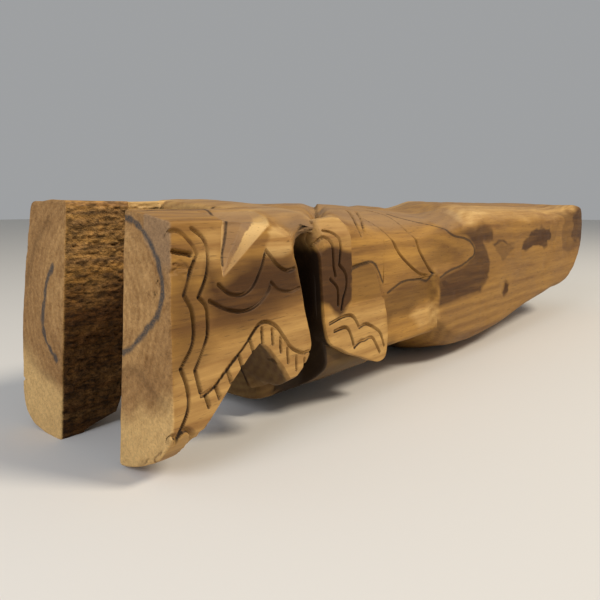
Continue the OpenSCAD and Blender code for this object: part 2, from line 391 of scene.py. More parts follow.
class LogPiece:
    """A length of the log as one closed surface of two parameters: a square loop round the
    section, its corners rounded as a superellipse, carried along X from front to back, with
    rings that close each end to a pole."""

    name = ""
    slot = "heartwood"
    rows = (120, 60, 60, 40)     # points of the loop: right side, top, left side, underside
    count = 150                  # stations along X
    ends = (0.0, 508.0)          # X of the front and the back
    rings = (16, 8)              # rings that close the front and the back
    rounding = (0.6, 0.6)        # radius of the front and the back edges
    power = (18.0, 18.0)         # superellipse power of the lower and the upper corners
    middle = (0.0, 50.0)         # y and z of the axis
    half = (HALF_WIDTH, 50.0)    # half width and half height

    def front(self, y, z):
        return self.ends[0] + 0 * z

    def back(self, y, z):
        return self.ends[1] + 0 * z

    def low(self, x, y):
        return curve(BELLY, np.abs(y))

    def high(self, x, y):
        return log_top(x, y)

    def right(self, x, z):
        return right_side(x, z)

    def left(self, x, z):
        return left_side(x, z)

    def loop(self):
        """Square loop with max(|a|, |b|) = 1: up the right side, over, down, and back below."""
        right, top, left, bottom = (np.linspace(-1, 1, n, endpoint=False) for n in self.rows)
        a = np.concatenate([np.full(len(right), -1.0), top, np.ones(len(left)), -bottom])
        b = np.concatenate([right, np.ones(len(top)), -left, -np.ones(len(bottom))])
        return a, b

    def stations(self):
        """For each station: share of the way along, distance from the end plane, inset of the
        edge, and size of the ring. The edges follow a quarter circle."""
        turn = np.linspace(0, math.pi / 2, 4)[:3]
        body = np.linspace(0, 1, self.count)
        parts = []
        for end, radius, rings in zip((0.0, 1.0), self.rounding, self.rings):
            size = np.linspace(1, 0, rings + 1)[1:-1] ** 0.9
            parts.append([end + 0 * size, 0 * size, radius + 0 * size, size])
            parts.append([end + 0 * turn, radius * (1 - np.cos(turn)), radius * (1 - np.sin(turn)),
                          1 + 0 * turn])
        ring0, edge0, ring1, edge1 = parts
        middle = [body, mix(*self.rounding, body), 0 * body, 1 + 0 * body]
        return [np.concatenate([ring0[k][::-1], edge0[k], middle[k], edge1[k][::-1], ring1[k]])
                for k in range(4)]

    def place(self, a, b, share, off, inset, size):
        """Turns loop and station into x, y, z, in three passes because each outline needs
        the other two numbers."""
        power = np.where(b < 0, self.power[0], self.power[1])
        shrink = np.maximum((np.abs(a) ** power + np.abs(b) ** power) ** (1 / power), 1e-9)
        u = (a / shrink * (1 - inset / self.half[0]) * size + 1) / 2
        v = (b / shrink * (1 - inset / self.half[1]) * size + 1) / 2
        z = self.middle[1] + self.half[1] * (2 * v - 1)
        y = self.middle[0] + self.half[0] * (2 * u - 1)
        for _ in range(3):
            x = mix(self.front(y, z) + off, self.back(y, z) - off, share)
            y = mix(self.right(x, z), self.left(x, z), u)
            z = mix(self.low(x, y), self.high(x, y), v)
        return np.stack([x, y, z], -1)

    def outward(self, p):
        """Direction of the section's superellipse of power 8 about the axis."""
        a = (p[..., 1] - self.middle[0]) / self.half[0]
        b = (p[..., 2] - self.middle[1]) / self.half[1]
        way = np.stack([0 * a, np.sign(a) * np.abs(a) ** 7 / self.half[0],
                        np.sign(b) * np.abs(b) ** 7 / self.half[1]], -1)
        return way / np.maximum(np.linalg.norm(way, axis=-1, keepdims=True), 1e-12)

    def relief(self, p):
        """Depth of carving and knife marks at each point, inwards."""
        return knife_marks(p) + carved(p, BODY_LINES, BODY_SIDE)

    def surface(self):
        """Grid of points round by stations, the two poles, and the relief at every point."""
        a, b = self.loop()
        share, off, inset, size = (row[:, None] for row in self.stations())
        p = self.place(a[None], b[None], share, off, inset, size)
        zero = np.zeros((1, 1))
        poles = [self.place(zero, zero, share[[k]], off[[k]], inset[[k]], zero)[0] for k in (0, -1)]
        depth = self.relief(p)
        depth = depth * ease(0, 0.4, np.broadcast_to(size, depth.shape))
        return p - self.outward(p) * depth[..., None], poles


def side_height(p, skin):
    """Height measured over the surface: z on the sides, and further on over the top, where skin
    is the distance of the right side from the middle. The left side reads the same lines
    mirrored."""
    right = p[..., 2] + np.maximum(p[..., 1] + skin, 0)
    left = p[..., 2] + np.maximum(42 - p[..., 1], 0)
    return np.where(p[..., 1] < SPLIT_Y, right, left)


def knife_marks(p):
    """Shallow hollows of the knife and adze: noise of 14 mm by 8 mm by 7 mm and 0.35 mm deep, and
    finer noise of 5 mm by 3 mm, 0.12 mm deep."""
    return 0.35 * grain(p, (14, 8, 7), 3) + 0.12 * grain(p, (5, 3, 3), 5)


def groove(away, half):
    """Section of a cut from 1 in its middle to 0 at its edges: (1 - t*t) to the power 1.5, where
    t is the distance over the half width."""
    return (1 - (away / half) ** 2) ** 1.5


def carved(p, lines, skin):
    """Cuts along the lines, as wide and deep as the sizes say, 30 percent uneven."""
    sizes = bpy.context.scene.headrest_sizes
    half = sizes.cut_width * MILLIMETRES / 2
    away = line_distance(p[..., 0], side_height(p, skin), [rounded(line) for line in lines], half)
    uneven = 1 + 0.3 * grain(p, (6, 6, 6), 11)
    return sizes.cut_depth * MILLIMETRES * uneven * groove(away, half)


def border_cuts():
    """Short cuts below the border over the arch: in front of its top they slant by 2 mm over
    5.4 mm, behind it they start 2.5 mm lower and are nearly upright, 8.5 mm below the border."""
    upper = rounded(LEG_BORDER)
    x = np.array(BORDER_CUTS)
    start = np.stack([x, np.interp(x, upper[:, 0], upper[:, 1])], 1)
    behind = ease(38, 46, x)
    end = start + np.stack([mix(2.0, 0.4, behind), mix(-5.4, -8.5, behind)], 1)
    start[:, 1] -= 2.5 * behind
    return [np.array(pair) for pair in zip(start, end)]


def notch(p, over):
    """Wedge cut down into the side and over the top. Its depth is the least of the floor, the
    steep front wall (1.1 times the distance behind the front edge) and the broad back wall (half
    the distance before the back edge, flatter on top). The walls of the gap are left out. over
    is the depth left on top. Returns the depth, and the share of front wall and back wall."""
    x = p[..., 0]
    h = side_height(p, HALF_WIDTH)
    near = straight([(73.5, 24), (80, 22.8), (92, 23.5), (105, 28), (135, 30)], h)
    far = straight([(73.5, 24.6), (78.5, 31.5), (82, 36), (88, 44), (94, 52), (104, 58), (135, 60)], h)
    floor = straight([(73.5, 0), (76, 1.6), (82, 3.6), (93, 5.6), (103, 3.6), (118, over), (140, over)], h)
    front = (x - near) * 1.1
    back = (far - x) * straight([(78, 0.75), (92, 0.5), (104, 0.45), (120, 0.15)], h)
    depth = np.minimum(np.minimum(front, back), floor)
    depth = depth * np.maximum(ease(88, 93, p[..., 2]), np.abs(p[..., 1] - SPLIT_Y) > 41)
    cut = depth > 0.05
    return np.maximum(depth, 0), cut * (front < floor) * (front < back), cut * (back < floor) * (back < front)


class RightFrontLeg(LogPiece):
    """Leg between the right side and the gap, with an arch cut up into it behind the foot."""

    name = "right_front_leg"
    rows = (235, 30, 60, 24)
    count = 190
    rings = (54, 14)
    rounding = (0.9, 0.8)
    power = (60.0, 60.0)
    middle = (-38.0, 52.0)
    half = (15.5, 50.0)
    arch, sole = ARCH, BELLY
    over = 0.0                   # depth of the notch on top
    short_cut = (0.95, 1.5)      # half width and depth of the short cuts
    slit = (1.2, 3.2)            # the same for the deep short slit

    def back(self, y, z):
        """The slot edge, rounded below over the last 15 mm above the lobe."""
        near = np.clip(1 - (z - self.lobe(y)) / 15, 0, 1)
        return curve(LEG_BACK, z) - 10 * near ** 2

    def lobe(self, y):
        """Underside behind the arch, from 9.5 mm at the gap up to 27 mm at the outside."""
        return lobe(y, 9.5, 27, 1.4)

    def low(self, x, y):
        """The higher of sole, arch and lobe."""
        arch = straight(self.arch, x) - 60 * ease(69.3, 74, x)
        arch = np.where(x < self.arch[0][0], -10, arch)
        sole = curve(self.sole, np.abs(y))
        return np.maximum(arch, mix(sole, self.lobe(y), ease(44, 50, x)))

    def left(self, x, z):
        return right_wall(z)

    def inside(self, p):
        """Distance in from the outer face."""
        return p[..., 1] - right_side(p[..., 0], p[..., 2])

    def from_gap(self, p):
        """Distance from the wall of the gap."""
        return right_wall(p[..., 2]) - p[..., 1]

    def finish_at(self, p):
        """2 on the sawn end, 1 on the wall of the gap up to 99 mm, 0 on the rest."""
        rough = (np.abs(self.from_gap(p)) < 1.6) & (p[..., 2] < 99)
        return np.where(p[..., 0] < 0.5, 2, np.where(rough, 1, 0))

    def outside(self, p):
        """1 on the outer half of the leg, 0 at the gap."""
        return ease(right_wall(50) - 3, right_wall(50) - 9, p[..., 1])

    def carving(self, p):
        """Lines, short cuts, the deep short slit, torn wood below it and the notch."""
        x, h = p[..., 0], side_height(p, HALF_WIDTH)
        wide, deep = self.short_cut
        cuts = deep * groove(line_distance(x, h, border_cuts(), wide), wide)
        lines = carved(p, LEG_LINES + [LEG_BORDER], HALF_WIDTH)
        wide, deep = self.slit
        slit = deep * (1 - line_distance(x, h, [[(1.5, 84.5), (9, 83)]], wide) / wide)
        torn = spread(x, h, [(1, 2, [(0, 82), (11, 81), (10, 77), (4, 75.5), (0, 77)])])
        face = ease(3.5, 1.5, self.inside(p))
        depth = face * np.maximum(np.maximum(cuts, lines), slit) + torn * (0.5 + grain(p, (2.2, 1, 1), 4))
        return self.outside(p) * depth + notch(p, self.over)[0]

    def relief(self, p):
        return knife_marks(p) + self.carving(p) + self.saw(p)

    def saw(self, p):
        """Torn ripples of the saw on the wall of the gap, 2.6 mm apart and 0.3 mm high, with
        torn fibres up to 1.2 mm, that fade towards its edges."""
        x, z = p[..., 0], p[..., 2]
        fade = ease(3.5, 1.0, self.from_gap(p)) * ease(0.5, 3, x)
        fade = fade * ease(0, 5, z - self.low(x, p[..., 1])) * ease(0, 4, self.high(x, p[..., 1]) - z)
        wave = np.sin(z / 2.6 * 2 * math.pi + 7 * grain(p, (7, 5, 5), 8))
        torn = 0.8 * grain(p, (2.4, 2, 1.2), 21) + 0.4 * grain(p, (1.2, 1, 0.9), 23)
        return fade * (0.3 * wave * (0.5 + 0.5 * grain(p, (6, 4, 4), 6)) + torn)


class LeftFrontLeg(RightFrontLeg):
    """The same between the gap and the left side, with a longer foot."""

    name = "left_front_leg"
    rows = (205, 30, 100, 20)
    middle = (35.0, 52.0)
    arch, sole = LEFT_ARCH, LEFT_SOLE
    over = 4.5

    def right(self, x, z):
        return left_wall(z)

    def left(self, x, z):
        return left_side(x, z)

    def inside(self, p):
        return left_side(p[..., 0], p[..., 2]) - p[..., 1]

    def from_gap(self, p):
        return p[..., 1] - left_wall(p[..., 2])

    def outside(self, p):
        return ease(24, 30, p[..., 1])


class FrontSaddle(LogPiece):
    """Bridge between the walls of the gap, flat below and rounded at its nose."""

    name = "front_saddle"
    slot = "stained_wood"
    rows = (44, 90, 44, 60)
    count = 70
    rings = (16, 6)
    rounding = (3.0, 0.5)
    power = (20.0, 400.0)
    middle = (-5.0, 78.0)
    half = (23.0, 22.0)
    ends = (48.0, BODY_X + OVERLAP)

    def front(self, y, z):
        """Nose rounded below, a quarter circle of 26 mm radius that stops short of upright."""
        below = np.clip((82 - z) / 26, 0, 1)
        return self.ends[0] + 26 * (1 - np.sqrt(1 - below ** 2 * 0.98))

    def low(self, x, y):
        return 56 + 0 * x

    def right(self, x, z):
        return right_wall(z) - 0.6

    def left(self, x, z):
        return left_wall(z) + 0.6


class BodyBlock(LogPiece):
    """Middle of the log: the core that closes the gap, the shoulders, and the neck."""

    name = "body_block"
    rows = (150, 110, 110, 50)
    count = 190
    rings = (20, 6)
    rounding = (0.8, 0.4)
    power = (30.0, 34.0)
    ends = (BODY_X, TAIL_X + OVERLAP)

    def front(self, y, z):
        """The core that closes the gap stands 9 mm further forward than the shoulders."""
        core = self.core(y) * (1 - ease(56, 60, z))
        return mix(curve(BODY_FRONT, z), 72, core)

    def core(self, y):
        """1 over the width of the core, 0 at the shoulders."""
        return band(-35, -25, 13, 20, y)

    def low(self, x, y):
        """Underside of the lobe up to the belly, behind it just below the top of the belly."""
        shoulder = straight([(81, 37), (90, 12), (108, 0)], x) * (1 - self.core(y))
        return np.where(x < BELLY_X, np.maximum(lobe(y, 8, 28, 2), shoulder), 57.4)


class BellyBlock(LogPiece):
    """Lower part of the log between the middle legs and the tail."""

    name = "belly_block"
    slot = "sapwood"
    rows = (70, 50, 60, 70)
    count = 80
    rings = (10, 6)
    rounding = (0.6, 0.4)
    power = (20.0, 900.0)
    middle = (0.0, 36.0)
    half = (52.0, 22.0)
    ends = (BELLY_X - OVERLAP, TAIL_X + OVERLAP)

    def low(self, x, y):
        """Round from side to side: 13 mm higher at the sides than along the keel."""
        return 13.5 + 13 * (y / HALF_WIDTH) ** 2

    def high(self, x, y):
        return 58.0 + 0 * x


class TailBlock(LogPiece):
    """The long tail, on a keel that rises to a blunt tip."""

    name = "tail_block"
    slot = "sapwood"
    rows = (110, 70, 60, 56)
    count = 270
    rings = (14, 20)
    rounding = (0.3, 2.5)
    power = (20.0, 34.0)
    ends = (TAIL_X - OVERLAP, OUTLINE_SIZE[0])

    def back(self, y, z):
        return curve(TIP, z)

    def low(self, x, y):
        """The keel, 13 mm higher at the sides."""
        return curve(KEEL, x) + 13 * (y / HALF_WIDTH) ** 2

    def relief(self, p):
        """Knife marks, wider and deeper than on the body, and a hollow of 1.2 mm left by a knot."""
        hollow = np.exp(-((p[..., 0] - 301) / 6) ** 2 - ((p[..., 2] - 41) / 6) ** 2)
        hollow = 1.2 * hollow * (p[..., 1] < -40)
        return knife_marks(p) + 0.5 * grain(p, (26, 14, 12), 9) * ease(198, 230, p[..., 0]) + hollow


class RightMiddleLeg(LogPiece):
    """A raised leg on the side: rings that shrink from the outline to a centre, the first ones
    climbing the edge, the rest lying on the face."""

    name = "right_middle_leg"
    slot = "sapwood"
    centre = (103.0, 55.0)
    sunk = -46.0

    def face(self, x, z):
        """The face stands proud of the body, and fades into it at the top."""
        return right_side(x, z) - self.proud(x, z)

    def proud(self, x, z):
        """How far the face stands before the body: all of the recess below, none at the top. The
        block behind the bar and above the foot lies 1.8 mm deeper than they do."""
        return recess(x, z) * (1 - ease(84, 95, z)) - 1.8 * ease(107.2, 108.6, x) * ease(51.6, 53, z)

    def surface(self):
        """Outline of 620 points by 146 rings: climb is the share of the way up the edge, size
        the share of the way from the centre."""
        outline = rounded(MIDDLE_LEG + MIDDLE_LEG[:1], 3)
        along = np.linspace(0, len(outline) - 1, 621)[:-1]
        flat = np.stack([np.interp(along, np.arange(len(outline)), outline[:, k]) for k in (0, 1)], 1)
        flat = (flat + np.roll(flat, 1, 0) + np.roll(flat, -1, 0)) / 3
        size = np.concatenate([[0.0, 0.5], np.ones(8), [0.992, 0.982], np.linspace(0.978, 0.012, 136)])
        climb = np.concatenate([[0, 0], np.linspace(0, 0.88, 8), [0.96, 0.99], np.ones(136)])
        size, climb = size[:, None], climb[:, None]
        x = mix(self.centre[0], flat[None, :, 0], size)
        z = mix(self.centre[1], flat[None, :, 1], size)
        y = mix(self.sunk, self.face(x, z), climb)
        p = np.stack([x, y, z], -1)
        p[..., 1] -= np.sign(self.sunk) * self.relief(p) * climb
        poles = [np.array([[self.centre[0], self.sunk, self.centre[1]]]),
                 np.array([[self.centre[0], p[-1, :, 1].mean(), self.centre[1]]])]
        return p[1:], poles

    def relief(self, p):
        return knife_marks(p) + carved(p, MIDDLE_LINES, HALF_WIDTH)


class LeftMiddleLeg(RightMiddleLeg):
    """The same on the left side."""

    name = "left_middle_leg"
    sunk = 34.0

    def face(self, x, z):
        return left_side(x, z) + self.proud(x, z)

    def relief(self, p):
        """The lines are read as if no point lay further in than y = 43, which keeps them upright."""
        q = p.copy()
        q[..., 1] = np.maximum(q[..., 1], 43)
        return knife_marks(p) + carved(q, MIDDLE_LINES, HALF_WIDTH)


# ---------------------------------------------------------------- from surface to mesh

SHARP = math.radians(80)         # edges with a turn above this are shaded sharp


def painted_shade(p, piece):
    """Painted shade: a dark tint where shade falls, on both sides of the slots, under the middle legs
    and at the front of the belly, and what a kind of piece adds: the core, the arch of a front leg.
    On a middle leg it is only in the edge that lies behind the face."""
    x, y, z = p[..., 0], p[..., 1], p[..., 2]
    # painted shade on the front of the body inside the slots
    grime = (1 - ease(1, 4, x - curve(BODY_FRONT, z))) * (1 - ease(78, 85, z)) * ease(77, 80, x)
    # painted shade under the middle legs
    under = straight([(90, 38), (99, 33.5), (108, 29), (131, 21), (142, 19)], x)
    grime = np.maximum(grime, 0.8 * band(88, 92, 138, 142, x) * ease(1.5, -1.5, z - under))
    # painted shade on the front of the core, deep in the gap between the front legs
    if isinstance(piece, BodyBlock):
        grime = np.maximum(grime, 0.75 * (1 - ease(80, 90, x)) * (1 - ease(58, 66, z)))
    # a middle leg has only painted shade, on its front edge inside the slot
    if isinstance(piece, RightMiddleLeg):
        behind = np.abs(piece.face(x, z)) - np.abs(y)
        grime = ease(0.9, 1.8, behind) * (1 - ease(92, 98, x)) * (1 - ease(78, 84, z))
    # painted shade on the back of a front leg in the slot, and under its arch
    if isinstance(piece, RightFrontLeg):
        slot = ease(-3.5, -1, x - curve(LEG_BACK, z)) * ease(60, 66, x) * (1 - ease(78, 84, z))
        arch = ease(1.5, 4, piece.inside(p)) * ease(36, 42, x) * (1 - ease(2, 6, z - piece.low(x, y)))
        grime = np.maximum(grime, np.maximum(slot * ease(53, 51, np.abs(y)), 0.75 * arch))
    # painted shade on the low front of the belly
    return np.maximum(grime, 0.8 * band(139, 145, 150, 160, x) * ease(34, 20, z))


def tint_leg(p, h, leg, tint):
    """Changes the tints of a front leg, where deep is the depth of the notch."""
    y, z = p[..., 1], p[..., 2]
    deep, front, back = notch(p, leg.over)
    end = tint["end"]
    # wall of the gap: brown below, paler towards the top; the brown is partly the wood's own colour and
    # partly painted shade of the deep gap
    rough = (1 - ease(0.6, 2.2, leg.from_gap(p))) * (1 - end)
    brown = 0.9 - 0.75 * ease(52, 84, z + 7 * grain(p, (12, 8, 8), 55))
    # notch: fresh on its walls, grey where they are not
    bright = straight([(74, 0.25), (82, 0.35), (88, 0.7), (92, 1), (97, 1), (102, 0.5), (108, 0.1),
                       (118, 0.1)], h)
    cut = np.maximum(0.5 * front, bright * back) * ease(0.05, 0.5, deep)
    if isinstance(leg, LeftFrontLeg):
        cut = 0.7 * ease(0.05, 0.5, deep)
    grey = np.maximum(tint["grey"], 0.8 * ease(0.2, 0.8, deep) * (1 - cut))
    stain = tint["stain"] * (1 - ease(0.1, 0.6, deep))
    # sawn end: tan inside the dark arc, browner outside, pale at the foot, chipped at the sole
    side = np.abs(y + 4) - 20
    foot = 1 - ease(-7, 6, z - 21 - 0.4 * side + 3 * grain(p, (5, 7, 7), 51))
    ring = np.hypot((y + 8) / 42, (z - 66) / 31)
    ragged = 0.6 * grain(p, (9, 3, 5), 52)
    line = 1 - line_distance(y + ragged, z, [rounded(e) for e in END_LINES], 2.4) / 2.4
    line = line + 0.25 * grain(p, (4, 2, 3), 56) * (line > 0)
    corner = (y < -40) * ease(1.0, 1.06, ring) * ease(74, 82, z)
    chips = ease(0.1, 0.4, grain(p, (1.4, 1.5, 1.1), 53)) * ease(5, 1, z - curve(BELLY, np.abs(y)))
    chips = chips * ease(-30, -42, y)
    halo = 1 - line_distance(y, z, [rounded(e) for e in END_STAINS], 3) / 3
    stain = mix(stain, 0.14 * ease(0.9, 1.1, ring) * (1 - foot) + 0.8 * chips + 0.3 * halo, end)
    sap = mix(tint["sap"], 0.75 * foot + 0.15 * (1 - ease(0.9, 1.05, ring)), end)
    tint.update(stain=mix(stain, brown, rough), zone=mix(tint["zone"], line, end) * (1 - rough),
                sap=sap, grey=mix(grey, 0.8 * corner, end), rough=rough,
                cut=mix(cut, 0.55 * foot * (1 - chips), end))


WOOD = ("stain", "zone", "sap", "grey")
# the last surface number is painted shade, with dust in the cut lines
SURFACE = ("rough", "end", "cut", "grime")


def tints(p, piece):
    """Two sets of four numbers for each point, read by the materials: stain, zone line, sapwood
    and greyness of the wood, then rough sawing, end grain, fresh cut, and painted shade with dust in the cut
    lines."""
    x = p[..., 0]
    leg = isinstance(piece, RightFrontLeg)
    h = side_height(p, HALF_WIDTH if leg else BODY_SIDE)
    # the outlines waver by 1 to 3 mm, and more on the tail
    far = 1 + 1.2 * ease(240, 300, x)
    sx = x + far * (2.0 * grain(p, (16, 9, 8), 33) + 0.8 * grain(p, (5, 3, 2.5), 35))
    sh = h + far * (1.3 * grain(p, (18, 9, 8), 34) + 0.5 * grain(p, (6, 3, 2.5), 36))
    lines = [rounded(line) for line in ZONE_LINES]
    tint = {key: spread(sx, sh, areas) for key, areas in (("stain", STAINS), ("sap", PALE), ("grey", GREYS))}
    tint["zone"] = 1 - line_distance(mix(x, sx, 0.5), mix(h, sh, 0.5), lines, 1.5) / 1.5
    tint["grey"] = np.maximum(tint["grey"], 0.25 * ease(98, 106, h))
    tint["end"] = (1 - ease(0.3, 1.2, x)) + ease(505, 507, x)
    # the painted shade of the slots and undersides starts the last surface number
    tint.update(rough=0 * x, cut=0 * x, grime=painted_shade(p, piece))
    depth = piece.relief(p)
    if leg:
        tint_leg(p, h, piece, tint)
        depth = depth - notch(p, piece.over)[0]
    # dust and painted shade in the cut lines, where they run deep
    if not isinstance(piece, TailBlock):
        clean = (tint["rough"] >= 0.3) | (tint["cut"] >= 0.3)
        tint["grime"] = np.maximum(tint["grime"], ease(0.6, 1.3, depth) * ~clean)
    return [np.clip(np.stack([tint[key] for key in keys], -1), 0, 1) for keys in (WOOD, SURFACE)]


def to_metres(p):
    """Log coordinates in millimetres to the frame in metres, stretched to the chosen size."""
    sizes = bpy.context.scene.headrest_sizes
    scale = np.array([sizes.length, sizes.width, sizes.height]) / OUTLINE_SIZE
    middle = (np.array(CAD_LOW) + CAD_HIGH) / 2
    out = (p - (OUTLINE_SIZE[0] / 2, 0.0, 0.0)) * scale
    out[..., :2] += middle[:2]
    return np.clip(out, np.array(CAD_LOW), np.array(CAD_HIGH))


def grid_faces(count, loop):
    """Quads that join neighbours on a grid of count rings, each closed and of loop points, and
    triangles that join the first and last rings to the two poles numbered after them."""
    ring = np.arange(loop)
    following = (ring + 1) % loop
    row = np.arange(count - 1)[:, None] * loop
    quads = np.stack([row + ring, row + following, row + loop + following, row + loop + ring], -1)
    start, pole = (count - 1) * loop, np.full(loop, count * loop)
    fans = [np.stack([pole, following, ring], -1), np.stack([pole + 1, start + ring, start + following], -1)]
    return quads.reshape(-1, 4), np.concatenate(fans)


def build(piece, finishes, choose=None):
    """Makes the mesh object of one piece, its faces turned so that it holds a positive volume.
    choose gives each face, by its centre, the number of its finish."""
    p, poles = piece.surface()
    verts = np.concatenate([p.reshape(-1, 3), poles[0].reshape(1, 3), poles[1].reshape(1, 3)])
    quads, fans = grid_faces(*p.shape[:2])
    solid = np.concatenate([quads[:, [0, 1, 2]], quads[:, [0, 2, 3]], fans])
    a, b, c = (verts[solid[:, n]] for n in range(3))
    if np.einsum("ij,ij->i", a, np.cross(b, c)).sum() < 0:
        quads, fans = quads[:, ::-1], fans[:, ::-1]
    sizes = np.concatenate([np.full(len(quads), 4), np.full(len(fans), 3)])
    mesh = bpy.data.meshes.new(piece.name)
    mesh.vertices.add(len(verts))
    mesh.vertices.foreach_set("co", to_metres(verts).astype(np.float32).ravel())
    mesh.loops.add(sizes.sum())
    corners = np.concatenate([quads.ravel(), fans.ravel()])
    mesh.loops.foreach_set("vertex_index", corners.astype(np.int32))
    mesh.polygons.add(len(sizes))
    mesh.polygons.foreach_set("loop_start", (np.cumsum(sizes) - sizes).astype(np.int32))
    mesh.update(calc_edges=True)
    mesh.validate()
    for name, values in zip(("wood", "surface"), tints(verts, piece)):
        layer = mesh.attributes.new(name, "FLOAT_COLOR", "POINT")
        layer.data.foreach_set("color", values.astype(np.float32).ravel())
    for name in finishes:
        mesh.materials.append(finish(name))
    if choose:
        centres = np.concatenate([verts[quads].mean(1), verts[fans].mean(1)])
        mesh.polygons.foreach_set("material_index", choose(centres).astype(np.int32))
    mesh.polygons.foreach_set("use_smooth", np.ones(len(sizes), bool))
    mesh.set_sharp_from_angle(angle=SHARP)
    thing = bpy.data.objects.new(piece.name, mesh)
    bpy.context.scene.collection.objects.link(thing)
    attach(thing, "root")
    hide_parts(piece.name)
    thing.name = "carved_" + piece.name


# ---------------------------------------------------------------- wood

def linear(code):
    """sRGB hex to linear red, green, blue."""
    value = np.array([int(code[k:k + 2], 16) for k in (1, 3, 5)]) / 255
    return tuple(np.where(value <= 0.04045, value / 12.92, ((value + 0.055) / 1.055) ** 2.4).tolist())


def add(nodes, kind, inputs=None, **settings):
    """Adds one node, with its settings, and its inputs by name or number: a value, or a link."""
    node = nodes.new(kind)
    for key, value in settings.items():
        setattr(node, key, value)
    for key, value in (inputs or {}).items():
        if isinstance(value, bpy.types.NodeSocket):
            node.id_data.links.new(value, node.inputs[key])
        else:
            node.inputs[key].default_value = value
    return node


def spalted_wood(name, look):
    """Spalted hardwood on Object coordinates: rings 3.5 mm apart round the pith, fibres 1.6 mm
    wide that run along the log, pores 0.4 mm wide, and the wood and surface attributes."""
    group = bpy.context.scene.headrest_colours
    tones = {key: (*getattr(group, key), 1) for key in group.__annotations__}
    material = bpy.data.materials.new(name)
    material.use_nodes = True
    nodes = material.node_tree.nodes
    nodes.clear()
    place = add(nodes, "ShaderNodeTexCoord").outputs["Object"]
    # y and z of the pith, in metres; fibres are 15 times as long as they are wide
    along = add(nodes, "ShaderNodeMapping", {"Vector": place, "Location": (0, 0.008, -0.060),
                                             "Scale": (0.065, 1, 1)}).outputs[0]
    loose = add(nodes, "ShaderNodeMapping", {"Vector": place, "Scale": (0.4, 1, 1)}).outputs[0]
    rings = add(nodes, "ShaderNodeTexWave", {"Vector": along, "Scale": 90, "Distortion": 4.0,
                                             "Detail": 3, "Detail Scale": 0.5},
                wave_type="RINGS", rings_direction="X").outputs["Fac"]
    # noises: what they lie on, scale (one over the width in metres), detail and roughness
    noise = {"fibre": (along, 620, 4, 0.6), "streak": (along, 170, 4, 0.6), "blotch": (loose, 32, 5, 0.6),
             "pores": (along, 2400, 1, 0.5), "speck": (place, 1500, 2, 0.5),
             # torn flecks 2 mm high for the walls left by the saw, dots 0.9 mm wide for the sawn ends
             "fleck": (loose, 480, 3, 0.7), "dots": (place, 1100, 2, 0.5)}
    for key, (vector, scale, detail, rough) in noise.items():
        noise[key] = add(nodes, "ShaderNodeTexNoise", {"Vector": vector, "Scale": scale, "Detail": detail,
                                                       "Roughness": rough}).outputs["Fac"]
    # the attributes: stain, zone line, sapwood and grey, then rough sawing, end grain, cut, and painted shade
    # with dust in the cut lines
    wood, surface = (add(nodes, "ShaderNodeAttribute", attribute_name=key) for key in ("wood", "surface"))
    kind, state = (add(nodes, "ShaderNodeSeparateColor", {0: source.outputs["Color"]}).outputs
                   for source in (wood, surface))
    # tone of the sound wood, dark to light: a weighted sum
    tone = 0.5 - look["rings"] / 2
    for source, weight in ((rings, look["rings"]), (noise["streak"], 1.1), (noise["fibre"], 0.95),
                           (noise["blotch"], 0.8)):
        tone = add(nodes, "ShaderNodeMath", {0: source, 1: weight, 2: tone},
                   operation="MULTIPLY_ADD").outputs[0]
    # ranges: from low and high to low and high
    level = {"tone": (tone, 1.43, 2.38, 0, 1), "broken": (noise["streak"], 0.3, 0.7, 0.8, 1.25),
             "fleck": (noise["fleck"], 0.36, 0.64, 0.4, 1.75),
             "dots": (noise["dots"], 0.35, 0.65, 0.88, 1.12),
             "thin": (kind[1], 0.3, 0.75, 0, 1), "ragged": (noise["speck"], 0.35, 0.6, 0.6, 0.9),
             "pore": (noise["pores"], 0.34, 0.27, 0, 0.4),
             "rough": (noise["blotch"], 0.3, 0.7, look["rough"] - 0.08, look["rough"] + 0.08)}
    for key, (value, *ends) in level.items():
        ends = dict(zip(("From Min", "From Max", "To Min", "To Max"), ends))
        level[key] = add(nodes, "ShaderNodeMapRange", {"Value": value, **ends}).outputs[0]
    # strengths: stain broken up by the streaks, zone lines with their edge broken by the fibres
    part = {"sap": (kind[2], 0.85), "stain": (kind[0], level["broken"]), "grey": (wood.outputs["Alpha"], 0.7),
            "cut": (state[2], 0.8), "line": (level["thin"], level["ragged"]),
            "grime": (surface.outputs["Alpha"], 0.96), "torn": (noise["speck"], look["torn"])}
    for key, (a, b) in part.items():
        part[key] = add(nodes, "ShaderNodeMath", {0: a, 1: b}, operation="MULTIPLY",
                        use_clamp=key == "stain").outputs[0]
    # pores, and the painted shade with dust from the last surface number, take the darkest tone
    dark = add(nodes, "ShaderNodeMath", {0: level["pore"], 1: part["grime"]}, operation="MAXIMUM").outputs[0]
    # blends of two tones; zone lines are blue grey on the sawn ends
    blend = {"sound": (level["tone"], *look["tones"]), "sap": (level["tone"], "sap_dark", "sap"),
             "stain": (noise["fibre"], "stain_dark", "stain"), "line": (state[1], "zone", "zone_end")}
    for key, (factor, a, b) in blend.items():
        blend[key] = add(nodes, "ShaderNodeMix", {0: factor, 6: tones[a], 7: tones[b]},
                         data_type="RGBA").outputs[2]
    # layers laid over the sound wood, the last one on top
    colour = blend["sound"]
    for factor, layer, how in ((part["sap"], blend["sap"], "MIX"), (part["stain"], blend["stain"], "MIX"),
                               (part["grey"], tones["grey"], "MIX"), (part["cut"], tones["sap"], "MIX"),
                               (state[0], level["fleck"], "MULTIPLY"), (state[1], level["dots"], "MULTIPLY"),
                               (part["line"], blend["line"], "MIX"), (dark, tones["grime"], "MIX")):
        colour = add(nodes, "ShaderNodeMix", {0: factor, 6: colour, 7: layer}, data_type="RGBA",
                     blend_type=how).outputs[2]
